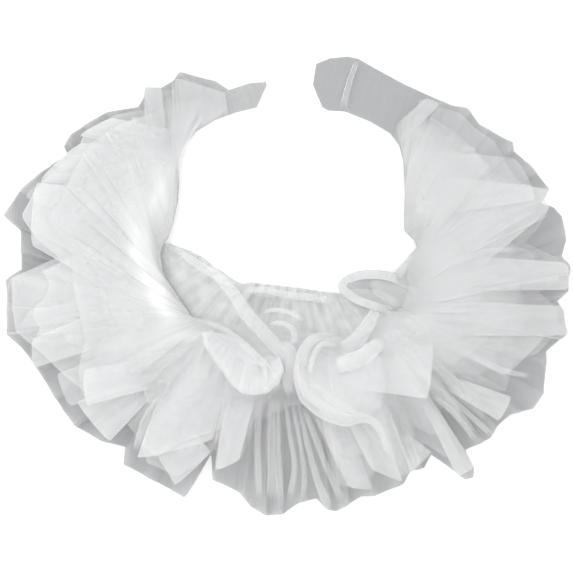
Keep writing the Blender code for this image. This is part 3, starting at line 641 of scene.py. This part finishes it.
def flap_point(flap):
    """A soft panel between four corners: straight edges, a low arch and slow ripples."""
    corners = [Vector((x, y, 0.0)) * STEP for x, y in
               ((flap.x1, flap.y1), (flap.x2, flap.y2), (flap.x3, flap.y3), (flap.x4, flap.y4))]

    def point(along, out):
        inner = corners[0].lerp(corners[1], along)
        outer = corners[3].lerp(corners[2], along)
        flat = inner.lerp(outer, out * (1.0 - CORNER_CUT * abs(2.0 * along - 1.0) ** CORNER_SHARPNESS))
        bow = (corners[1] - corners[0]) * FLAP_BOW * math.sin(math.pi * out)
        flat = flat + bow * drift(flap.x3, flap.y3, 3)
        arch = FLAP_ARCH * math.sin(math.pi * along) * out
        ripple = FLAP_RIPPLE * drift(along * 5.0 + flap.x1, out * 1.2, 52, grain=0.9)
        ripple *= math.sin(math.pi * along)
        place = flat + NECK_CENTRE
        place.z = pitch(flat.length) * (flap.level + arch + ripple) + CAD_WALL
        return place
    return point


def melt(flap):
    """Closeness of a flap: nothing at the gathers, and full from FLAP_MELT on."""
    def close(along, out):
        side = smooth((1.0 - along) / flap.soft) if flap.soft else 1.0
        return flap.close * smooth(out / FLAP_MELT) * side
    return close


for side, flaps in (("left", LEFT_FLAPS), ("front", FRONT_FLAPS), ("right", RIGHT_FLAPS)):
    for number, flap in enumerate(flaps, 1):
        inner = math.hypot(flap.x2 - flap.x1, flap.y2 - flap.y1)
        outer = math.hypot(flap.x3 - flap.x4, flap.y3 - flap.y4)
        middle = math.hypot(flap.x3 + flap.x4 - flap.x1 - flap.x2,
                            flap.y3 + flap.y4 - flap.y1 - flap.y2) / 2.0
        cut = (middle * STEP, (inner + outer) / 2.0 * STEP)
        piece = lay_net(f"{side}_flap_{number:02d}", *FLAP_MESH, flap_point(flap), white_net, cut,
                        edge_density_and_highlight=flap.light, close=melt(flap))


# Rolled folds
# Where the net is gathered hard, its folds roll into soft tubes: the fan at the front, the band
# across the left of the neck, the curl at the middle and the creases of the plain ends.
Bend = namedtuple("Bend", "x y wide level lift", defaults=(0,))  # grid steps, flounces, millimetres
ROLLS = {
    "fan_roll_01": [(-30, -176, 5, 1.0), (-33, -226, 6, 1.0), (-31, -284, 6, 0.9)],
    "fan_roll_02": [(-18, -176, 6, 1.0), (-19, -228, 8, 1.0), (-17, -286, 11, 0.9)],
    "fan_roll_03": [(-6, -180, 4, 1.0), (-1, -216, 4, 1.0), (4, -252, 5, 0.9),
                    (-2, -286, 6, 0.8)],
    "fan_roll_04": [(8, -186, 4, 1.0), (17, -228, 5, 1.0), (27, -264, 7, 0.9),
                    (40, -294, 10, 0.8)],
    "fan_roll_10": [(-12, -178, 3, 0.9), (-12, -230, 4, 0.9), (-9, -288, 6, 0.8)],
    "fan_roll_11": [(1, -184, 4, 0.9), (9, -222, 4, 0.9), (14, -258, 5, 0.8),
                    (12, -284, 5, 0.8)],
    "fan_roll_12": [(13, -190, 5, 1.1), (31, -238, 6, 1.0), (52, -286, 7, 0.8)],
    "fan_roll_13": [(-40, -182, 4, 1.4), (-48, -214, 5, 1.2), (-54, -246, 6, 1.0)],
    "fan_roll_14": [(34, -206, 8, 1.6), (50, -238, 9, 1.5), (66, -268, 10, 1.2)],
    "fan_roll_05": [(92, -188, 8, 1.7), (104, -224, 12, 1.5), (117, -262, 13, 1.2)],
    "fan_roll_06": [(142, -180, 4, 1.6), (162, -196, 5, 1.4), (186, -226, 5, 1.1)],
    "fan_roll_07": [(156, -178, 4, 1.6), (178, -198, 5, 1.4), (201, -219, 5, 1.1)],
    "fan_roll_08": [(-62, -180, 6, 2.0), (-68, -204, 7, 1.9), (-73, -228, 7, 1.7)],
    "fan_roll_09": [(-126, -176, 8, 1.8), (-144, -206, 10, 1.6), (-152, -236, 11, 1.3)],
    "side_roll_01": [(-194, -102, 6, 1.9), (-226, -96, 5, 1.7), (-262, -92, 4, 1.3)],
    "side_roll_02": [(-150, -2, 7, 2.4), (-186, -26, 6, 2.2), (-218, -64, 5, 1.8)],
    "side_roll_03": [(160, -128, 5, 1.8), (206, -152, 5, 1.6), (238, -160, 4, 1.2)],
    "side_roll_04": [(150, -52, 6, 2.2), (196, -36, 5, 2.0), (226, -34, 4, 1.5)],
    "neck_band": [(-90, -40, 6, 2.6), (-60, -74, 12, 3.2, 1), (-42, -100, 14, 3.2, 2),
                  (-22, -122, 14, 3.2, 3), (-6, -142, 12, 3.1, 4), (2, -158, 8, 3.1, 4)],
    "neck_roll_left": [(-118, -30, 6, 1.4), (-94, -48, 8, 1.8), (-70, -62, 9, 1.8),
                       (-52, -70, 7, 1.6)],
    "neck_roll_right": [(127, -37, 5, 2.0), (117, -48, 7, 2.1), (108, -62, 7, 2.0)],
    "left_lip": [(-90, -104, 5, 3.0, 2), (-70, -112, 6, 3.0, 3), (-50, -125, 6, 3.0, 6),
                 (-32, -142, 7, 3.0, 11), (-16, -160, 7, 3.0, 14), (-13, -174, 5, 3.0, 12)],
    "left_inner_lip": [(-40, -146, 4, 3.0, 15), (-28, -148, 5, 3.0, 15), (-24, -160, 5, 3.0, 17),
                       (-26, -172, 4, 3.0, 15)],
    "left_fold_over": [(-88, -118, 9, 3.0, 4), (-62, -129, 18, 3.0, 7), (-44, -139, 18, 3.0, 11),
                       (-34, -158, 10, 3.0, 15)],
    "frill_turned_edge": [(-50, -77, 6, 1.3), (-28, -74, 7, 1.3), (-4, -79, 7, 1.3),
                          (22, -82, 7, 1.3), (46, -86, 6, 1.3)],
    "neck_loop_leaf": [(50, -79, 5, 1.5), (66, -79, 13, 1.6), (88, -82, 15, 1.7),
                       (110, -92, 11, 1.8)],
    "neck_loop_fold": [(78, -66, 6, 1.7), (94, -74, 20, 1.8), (114, -82, 26, 1.9),
                       (138, -88, 16, 2.0)],
    "middle_curl": [(-24, -109, 4, 3.1, 1), (-10, -107, 5, 3.2, 2), (1, -112, 6, 3.2, 3),
                    (4, -124, 6, 3.2, 3), (-4, -131, 4, 3.1, 2)],
    "middle_ripple": [(-28, -97, 3, 3.1, 1), (-16, -94, 4, 3.1, 1), (0, -97, 4, 3.1, 1),
                      (14, -105, 4, 3.1, 1)],
    "middle_band": [(-14, -126, 9, 3.1, 3), (-2, -134, 13, 3.1, 5), (2, -148, 13, 3.1, 5),
                    (-3, -164, 10, 3.0, 4), (-1, -180, 7, 3.0, 2)],
    "right_curl": [(52, -128, 6, 3.0, 4), (36, -121, 8, 3.0, 6), (20, -125, 10, 3.0, 8),
                   (11, -142, 12, 3.0, 11), (9, -162, 12, 3.0, 13), (15, -180, 13, 3.0, 13),
                   (34, -194, 16, 3.0, 12), (54, -202, 14, 3.0, 11), (78, -202, 8, 3.0, 6),
                   (92, -218, 6, 2.6, 3), (94, -236, 5, 2.2, 2)],
    "right_curl_inner": [(46, -130, 4, 3.0, 7), (32, -128, 5, 3.0, 10), (23, -140, 5, 3.0, 14),
                         (19, -158, 4, 3.0, 16)],
    "right_leaf": [(22, -166, 4, 3.0, 16), (36, -178, 6, 3.0, 15), (52, -190, 7, 3.0, 13),
                   (72, -200, 5, 3.0, 9)],
    "right_crest": [(50, -134, 12, 3.1, 4), (66, -124, 16, 3.2, 5), (78, -108, 13, 3.2, 4),
                    (86, -92, 8, 3.1, 2)],
    "right_blob": [(44, -150, 12, 3.0, 14), (60, -146, 18, 3.0, 15), (78, -136, 16, 3.0, 12),
                   (92, -124, 10, 3.0, 6)],
    "end_crease_left": [(-116, 66, 5, 0.8), (-116, 104, 4, 0.8), (-117, 136, 4, 0.7)],
    "end_crease_right": [(53, 108, 8, 0.8), (59, 134, 6, 0.8), (67, 156, 5, 0.7)],
}
FAN_COVERAGE = 0.6
ROLL_COVERAGE = 0.9
ROLL_FLATNESS = 0.22  # height of a roll as a share of its width
ROLL_LEAST = 2.0 * MM  # and at the least
ROLL_TURN = 0.75  # how much of a full turn the net goes round
ROLL_MELT = 0.2  # share of its length in which each end melts away
RUFFLE = 0.14  # how unevenly wide it is
NARROWEST_CUT = 10.05 * MM  # the least cut width a roll is given: the thinnest rolls take 8 to 10 mm
ROLL_MESH = (16, 12)  # round the roll, and along it for each bend


def roll_point(bends):
    """Along a smooth path, and round the roll's low oval from one tucked edge to the other."""
    def point(along, out):
        place = out * (len(bends) - 1)
        before = min(int(place), len(bends) - 2)
        part = place - before
        rows = [bends[min(len(bends) - 1, max(0, before + step))] for step in (-1, 0, 1, 2)]
        spots = [Vector((bend.x, bend.y, 0.0)) * STEP for bend in rows]
        spot = (spots[1] * 2 + (spots[2] - spots[0]) * part
                + (spots[0] * 2 - spots[1] * 5 + spots[2] * 4 - spots[3]) * part ** 2
                + (spots[1] * 3 - spots[0] - spots[2] * 3 + spots[3]) * part ** 3) / 2.0
        way = (spots[2] - spots[0]).lerp(spots[3] - spots[1], part)
        side = Vector((-way.y, way.x, 0.0)).normalized()
        ease = smooth(part)
        wide = (rows[1].wide + (rows[2].wide - rows[1].wide) * ease) * STEP
        level = rows[1].level + (rows[2].level - rows[1].level) * ease
        turn = math.tau * ROLL_TURN * (along - 0.5)
        ruffle = 1.0 + RUFFLE * drift(out * 30.0 + bends[0].x, along, 53, grain=0.7)
        flat = spot + side * wide / 2.0 * ruffle * math.sin(turn)
        tall = max(ROLL_LEAST, wide * ROLL_FLATNESS)
        spread = flat + NECK_CENTRE
        lift = (rows[1].lift + (rows[2].lift - rows[1].lift) * ease) * MM
        spread.z = pitch(spot.length) * level + lift + CAD_WALL + tall * (math.cos(turn) - 1.0)
        return spread
    return point


def roll_close(closeness):
    """Closeness of a roll, melting away at both of its ends."""
    def close(along, out):
        return closeness * smooth(out / ROLL_MELT) * smooth((1.0 - out) / ROLL_MELT)
    return close


for name, rows in ROLLS.items():
    bends = [Bend(*row) for row in rows]
    length = sum(math.hypot(b.x - a.x, b.y - a.y) for a, b in zip(bends, bends[1:])) * STEP
    half = sum(bend.wide for bend in bends) / len(bends) * STEP / 2.0
    tall = max(ROLL_LEAST, half * 2.0 * ROLL_FLATNESS)
    round_way = math.pi * (3.0 * (half + tall) - math.sqrt((3.0 * half + tall) * (half + 3.0 * tall)))
    cut = (length, max(NARROWEST_CUT, round_way * ROLL_TURN))
    closeness = FAN_COVERAGE if name.startswith(("fan", "end", "side")) else ROLL_COVERAGE
    roll = lay_net(name, ROLL_MESH[0], ROLL_MESH[1] * len(bends), roll_point(bends), white_net, cut,
                   edge_density_and_highlight=0.3, close=roll_close(closeness))


# Neck frill
# The heading of the gathered net stands in towards the neck at the front: one sheer ply with soft
# folds, grey with painted shade, a white ply on it with a sheer window, and an edge turned up in a thin
# line, denser and with a painted highlight.
FRILL_EDGE = [Corner(*row) for row in (
    (192.8, 90), (195, 85), (199.3, 76.6), (204, 71), (213, 66.5), (222, 63), (234, 61),
    (239, 56), (250, 52.4), (266, 51), (278, 52.6), (295, 60.5), (304, 68), (311, 74),
    (319, 79), (326, 83), (330, 89),
)]
FRILL_FOLDS = [Fold(*row) for row in (
    (197, 0.5, 0.4, 2.4), (202.5, 0.6, 0.8, 2.8), (209, 0.6, 1.0, 3.0), (216, 0.7, 1.6, 3.4),
    (225, 0.8, 1.6, 3.8), (234, 0.6, 1.2, 3.6), (242, 0.7, 1.0, 3.4), (250, 0.5, 0.6, 3.4),
    (258, 0.5, 0.0, 3.4), (266, 0.4, 0.0, 3.4), (274, 0.5, -0.6, 3.2), (281, 0.7, -1.0, 2.6),
    (286.5, 0.9, -1.2, 2.4), (292, 0.9, -1.2, 2.4), (298, 0.7, -0.8, 2.6), (305, 0.6, 0.6, 2.8),
    (312, 0.7, 1.0, 3.0), (319, 0.6, 0.8, 3.0), (325.5, 0.5, 0.4, 2.6),
)]
FRILL_WAVE = 0.55  # height of its folds, as a share of its solid's
FRILL_GATHER = 0.3  # and of its small gathers, as a share of the flounces'
FRILL_GATHER_TURN = 2.3  # how close those lie, in radians a degree
FRILL_GATHER_FADE = 1.6  # and how soon they fade on the way in
FRILL_RIPPLE = 0.16


def frill_point(along, out):
    """A point of the frill, from the thread in to its turned edge."""
    angle = angle_along(FRILL_EDGE, along)
    outer = reach_at(THREAD, angle)
    radius = outer + (reach_at(FRILL_EDGE, angle) - outer) * out
    wave = FRILL_WAVE * fold_wave(FRILL_FOLDS, angle)
    turn = angle + fold_lean(FRILL_FOLDS, angle) * wave * out
    fine = FINE_GATHER * FRILL_GATHER * (0.5 + 0.5 * math.sin(angle * FRILL_GATHER_TURN))
    fine *= smooth(1.0 - out * FRILL_GATHER_FADE)
    ripple = FRILL_RIPPLE * drift(angle, out * 4.0, 31, grain=0.6)
    rise = min(1.0, max(0.0, wave + fine + ripple))
    return polar(turn, radius, CAD_WALL / 2.0 + rise * (pitch(radius) - CAD_WALL - PLY_GAP))


FRILL_WINDOW = Stretch(240.0, 5.0, 268.0, 12.0)  # degrees, where it shows as one sheer ply
FRILL_WINDOW_DEPTH = Stretch(0.50, 0.08, 0.84, 0.06)  # and shares of the way in from the thread
WINDOW_SHEERNESS = 0.38  # how much sheerer it is there
FRILL_CLOSENESS, FRILL_CLOUD = 1.85, 0.6  # closeness of the second ply, and how uneven it is
LINING_LIFT = 0.6 * MM
FRILL_CUT = (0.04, 0.25)
FRILL_MESH = (420, 16)
LINING_MESH = (300, 24)


def frill_close(along, out):
    """Closeness of the frill's second ply, which leaves a window under the turned edge."""
    angle = angle_along(FRILL_EDGE, along)
    window = inside(FRILL_WINDOW, angle) * inside(FRILL_WINDOW_DEPTH, out)
    cloud = FRILL_CLOUD * drift(angle, out * 3.0, 71, grain=0.2)
    return (1.0 - WINDOW_SHEERNESS * window) * (FRILL_CLOSENESS + cloud)


def lining_point(along, out):
    """A point of the frill's second ply, just above the first."""
    place = frill_point(along, out)
    place.z += LINING_LIFT
    return place


neck_frill = lay_net("neck_frill_net", *FRILL_MESH, frill_point, sheer_net, FRILL_CUT, edge_density_and_highlight=0.3)
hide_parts("neck_frill")
frill_lining = lay_net("neck_frill_lining", *LINING_MESH, lining_point, white_net, FRILL_CUT,
                       edge_density_and_highlight=0.5, close=frill_close, streak=0.2)


# Front loops
# Two lengths of the gathered net are turned over at the middle of the front. Each springs from
# the thread, rounds over and tucks back under its own lip.
LEFT_PUFF = [Corner(*row) for row in (
    (233, 106), (237, 113), (242, 118), (247, 123), (251, 129), (255, 132.5), (259, 131.5),
    (263, 128), (266, 121), (267.6, 111),
)]
RIGHT_PUFF = [Corner(*row) for row in (
    (271.6, 110), (272.2, 121), (274.4, 131), (279, 142), (285, 151), (291, 155), (296, 150),
    (300, 139), (302.6, 124),
)]
PUFF_THREAD_REACH = 99.5  # millimetres
LEFT_PUFF_THREAD = (236.0, 265.0)  # degrees
RIGHT_PUFF_THREAD = (276.0, 300.0)
PUFF_HEIGHT = 13.0 * MM
PUFF_ROUND = 0.85  # how much of a half turn it has rounded over at its lip
PUFF_SPRING = 1.5  # how fast it springs out from the thread
PUFF_SEAT_SHARE = 0.35  # how far out it lies on the top flounce
PUFF_LIP_HEIGHT = 4.0 * MM
PUFF_LIP_WIDTH = 6.0 * MM
PUFF_CREASES = 31.0  # its creases, in radians from side to side
PUFF_CREASE_DEPTH = 0.7 * MM


def puff_point(outline, thread, along, share):
    """A front loop: out from the thread over a crown, then turned in under its lip."""
    hem_angle = angle_along(outline, along)
    start = polar(thread[0] + (thread[1] - thread[0]) * along, MM * PUFF_THREAD_REACH)
    end = polar(hem_angle, reach_at(outline, hem_angle))
    out = min(share, 1.0)
    crown = math.sin(math.pi * out * PUFF_ROUND)
    place = start.lerp(end, 1.0 - (1.0 - out) ** PUFF_SPRING)
    lift = PUFF_LIP_HEIGHT * out + PUFF_HEIGHT * crown
    if share > 1.0:
        place = end + (start - end).normalized() * PUFF_LIP_WIDTH * (share - 1.0)
        lift = (PUFF_LIP_HEIGHT + PUFF_HEIGHT * crown) * (2.0 - share) + CAD_WALL * (share - 1.0)
    radius = (place - NECK_CENTRE).length
    stray = 3.0 * drift(along * 20.0, share, 41)
    crease = math.sin(along * PUFF_CREASES + stray) * smooth(1.2 - out)
    seat = 2.0 * pitch(radius) + CAD_WALL + PLY_GAP
    seat += (3.0 * pitch(radius) - seat) * smooth(out / PUFF_SEAT_SHARE)
    place.z = seat + CAD_WALL / 2.0 + lift + PUFF_CREASE_DEPTH * crease
    return place


PUFF_SHARE = 1.9  # the net goes on past the lip by this much of the way out
PUFF_MESH = (160, 60)
LIP_CLOSENESS = 0.35
LIP_START, LIP_EASE = 0.97, 0.1  # where the net tucks under, on the way out
LOOP_MELT = 0.1  # how far out from the thread a loop is there in full


def loop_close(first, last, first_melt, last_melt):
    """Closeness of a front loop, from its first side to its last, less where it tucks under, and
    how much of each side melts into the gathers."""
    def close(along, out):
        melting = first_melt + (last_melt - first_melt) * smooth(along)
        tucked = smooth((out * PUFF_SHARE - LIP_START + melting) / (LIP_EASE + melting))
        lip = 1.0 - (1.0 - LIP_CLOSENESS * (1.0 - melting)) * tucked
        return (first + (last - first) * smooth(along)) * lip * smooth(out / LOOP_MELT)
    return close


for name, node, outline, thread, cut, close in (
    ("front_loop_left_net", "front_loop_left", LEFT_PUFF, LEFT_PUFF_THREAD, (0.045, 0.08),
     loop_close(1.3, 1.6, 0.35, 0.0)),
    ("front_loop_right_net", "front_loop_right", RIGHT_PUFF, RIGHT_PUFF_THREAD, (0.06, 0.08),
     loop_close(1.2, 0.9, 0.0, 0.85)),
):
    def loop_over(along, out):
        return puff_point(outline, thread, along, out * PUFF_SHARE)

    front_loop = lay_net(name, *PUFF_MESH, loop_over, white_net, cut, edge_density_and_highlight=0.15, close=close)
    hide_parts(node)


# Neck loop
# A loose loop of the same net lies over the neck edge at the right of the front.
Loop = namedtuple("Loop", "angle reach height")  # degrees, millimetres, millimetres
NECK_LOOP = [Loop(*row) for row in (
    (316.4, 101.5, 3.5), (314.6, 95, 5.4), (312.3, 88, 7.8), (308.2, 77.2, 9.4), (305.9, 67.8, 9.6),
    (307, 62.5, 9.6), (313.2, 62.2, 10), (320.7, 67.3, 10.2), (326.8, 77.8, 9.2), (328.8, 86, 6.4),
    (329.6, 93, 3.6),
)]
NECK_LOOP_BAND = 6.6 * MM  # width of the folded band
NECK_LOOP_TILT = 2.4 * MM  # how far it leans over at the tip
NECK_LOOP_PLY = 0.5 * MM  # how far its two plies part
NECK_LOOP_MESH = (160, 16)


def neck_loop_point(along, out):
    """Along the loop's path, and across its band, folded double at the inner edge."""
    place = along * (len(NECK_LOOP) - 1)
    before = min(int(place), len(NECK_LOOP) - 2)
    part = place - before
    rows = [NECK_LOOP[min(len(NECK_LOOP) - 1, max(0, before + step))] for step in (-1, 0, 1, 2)]
    earlier, start, end, later = (polar(row.angle, row.reach * MM, row.height * MM) for row in rows)
    way_in, way_out = end - earlier, later - start
    middle = (start * (1 - part) ** 2 * (1 + 2 * part) + end * part ** 2 * (3 - 2 * part)
              + way_in * 0.5 * part * (1 - part) ** 2 - way_out * 0.5 * part ** 2 * (1 - part))
    way = way_in.lerp(way_out, part)
    side = Vector((way.y, -way.x, 0.0)).normalized()
    spread = abs(out * 2.0 - 1.0) - 0.5
    ply = NECK_LOOP_PLY * (1.0 if out > 0.5 else -1.0) * (spread + 0.5)
    tip = smooth(1.0 - abs(along - 0.5) / 0.5)
    drop = Vector((0.0, 0.0, NECK_LOOP_TILT * tip * spread - ply))
    return middle + side * NECK_LOOP_BAND * spread - drop


LOOP_CUT = (0.0132, 0.09)
LOOP_SHADE = (0.70, 0.703, 0.708, 1.0)
LOOP_COVERAGE = 0.6
loop_net = net_finish("loop net", LOOP_SHADE, WHITE_PAINTED_LIGHT, LOOP_COVERAGE, SHEER_FOLD_COVERAGE,
                      SHEER_PAINTED_GLOW)
neck_loop = lay_net("neck_loop", *NECK_LOOP_MESH, neck_loop_point, loop_net, LOOP_CUT, edge_density_and_highlight=0.3)
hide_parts("neck_loop_right")

# Single net shows inside the loop and at the corner of the neck, lying on the frill; its grey is
# painted shade.
UNDERSIDE_MESH = (32, 20)
for name, cut, flap in (
    ("neck_loop_underside", (0.049, 0.023),
     Flap(128, -96, 122, -57, 62, -58, 52, -80, 0.9, 0.2, 1.0)),
    ("neck_corner_underside", (0.0300, 0.0369),
     Flap(150, -92, 152, -34, 127, -31, 98, -64, 1.0, 0.2, 1.0)),
):
    underside = lay_net(name, *UNDERSIDE_MESH, flap_point(flap), sheer_net, cut, edge_density_and_highlight=flap.light)


# Table, light and camera
# The collar lies on a plain white table under broad soft light, and the camera looks straight
# down on it.
TABLE_SIZE = 6.0
TABLE_WHITE = (0.9, 0.9, 0.9, 1.0)
TABLE_GLOW = 0.1
PURE_WHITE = (1.0, 1.0, 1.0, 1.0)
ROOM_LIGHT = 1.27
SOFTBOX_SIZE = 0.9
SOFTBOX_POWER = 6.0
SOFTBOX_PLACE = (-0.9, 0.5, 1.1)
CAMERA_PLACE = (-0.0007, -0.0004, 2.2)
CAMERA_LENS = 190.3  # millimetres, so that the collar fills the frame

bpy.ops.mesh.primitive_plane_add(size=TABLE_SIZE, location=(0.0, 0.0, 0.0))
floor = bpy.context.object
floor.name = "floor"
table = bpy.data.materials.new("white table")
table.use_nodes = True
surface = table.node_tree.nodes["Principled BSDF"]
surface.inputs["Base Color"].default_value = TABLE_WHITE
surface.inputs["Roughness"].default_value = 0.9
surface.inputs["Emission Color"].default_value = PURE_WHITE
surface.inputs["Emission Strength"].default_value = TABLE_GLOW
floor.data.materials.append(table)

scene = bpy.context.scene
world = bpy.data.worlds.new("studio")
scene.world = world
world.use_nodes = True
world.node_tree.nodes["Background"].inputs["Color"].default_value = PURE_WHITE
world.node_tree.nodes["Background"].inputs["Strength"].default_value = ROOM_LIGHT
light = bpy.data.lights.new("softbox", "AREA")
light.size = SOFTBOX_SIZE
light.energy = SOFTBOX_POWER
softbox = bpy.data.objects.new("softbox", light)
softbox.location = SOFTBOX_PLACE
softbox.rotation_euler = (-softbox.location).to_track_quat("-Z", "Y").to_euler()
scene.collection.objects.link(softbox)

camera = bpy.data.cameras.new("camera")
camera.sensor_width = 36.0
camera.lens = CAMERA_LENS
overhead = bpy.data.objects.new("camera", camera)
overhead.location = CAMERA_PLACE
scene.collection.objects.link(overhead)
scene.camera = overhead
scene.cycles.transparent_max_bounces = 128
scene.view_settings.view_transform = "Standard"
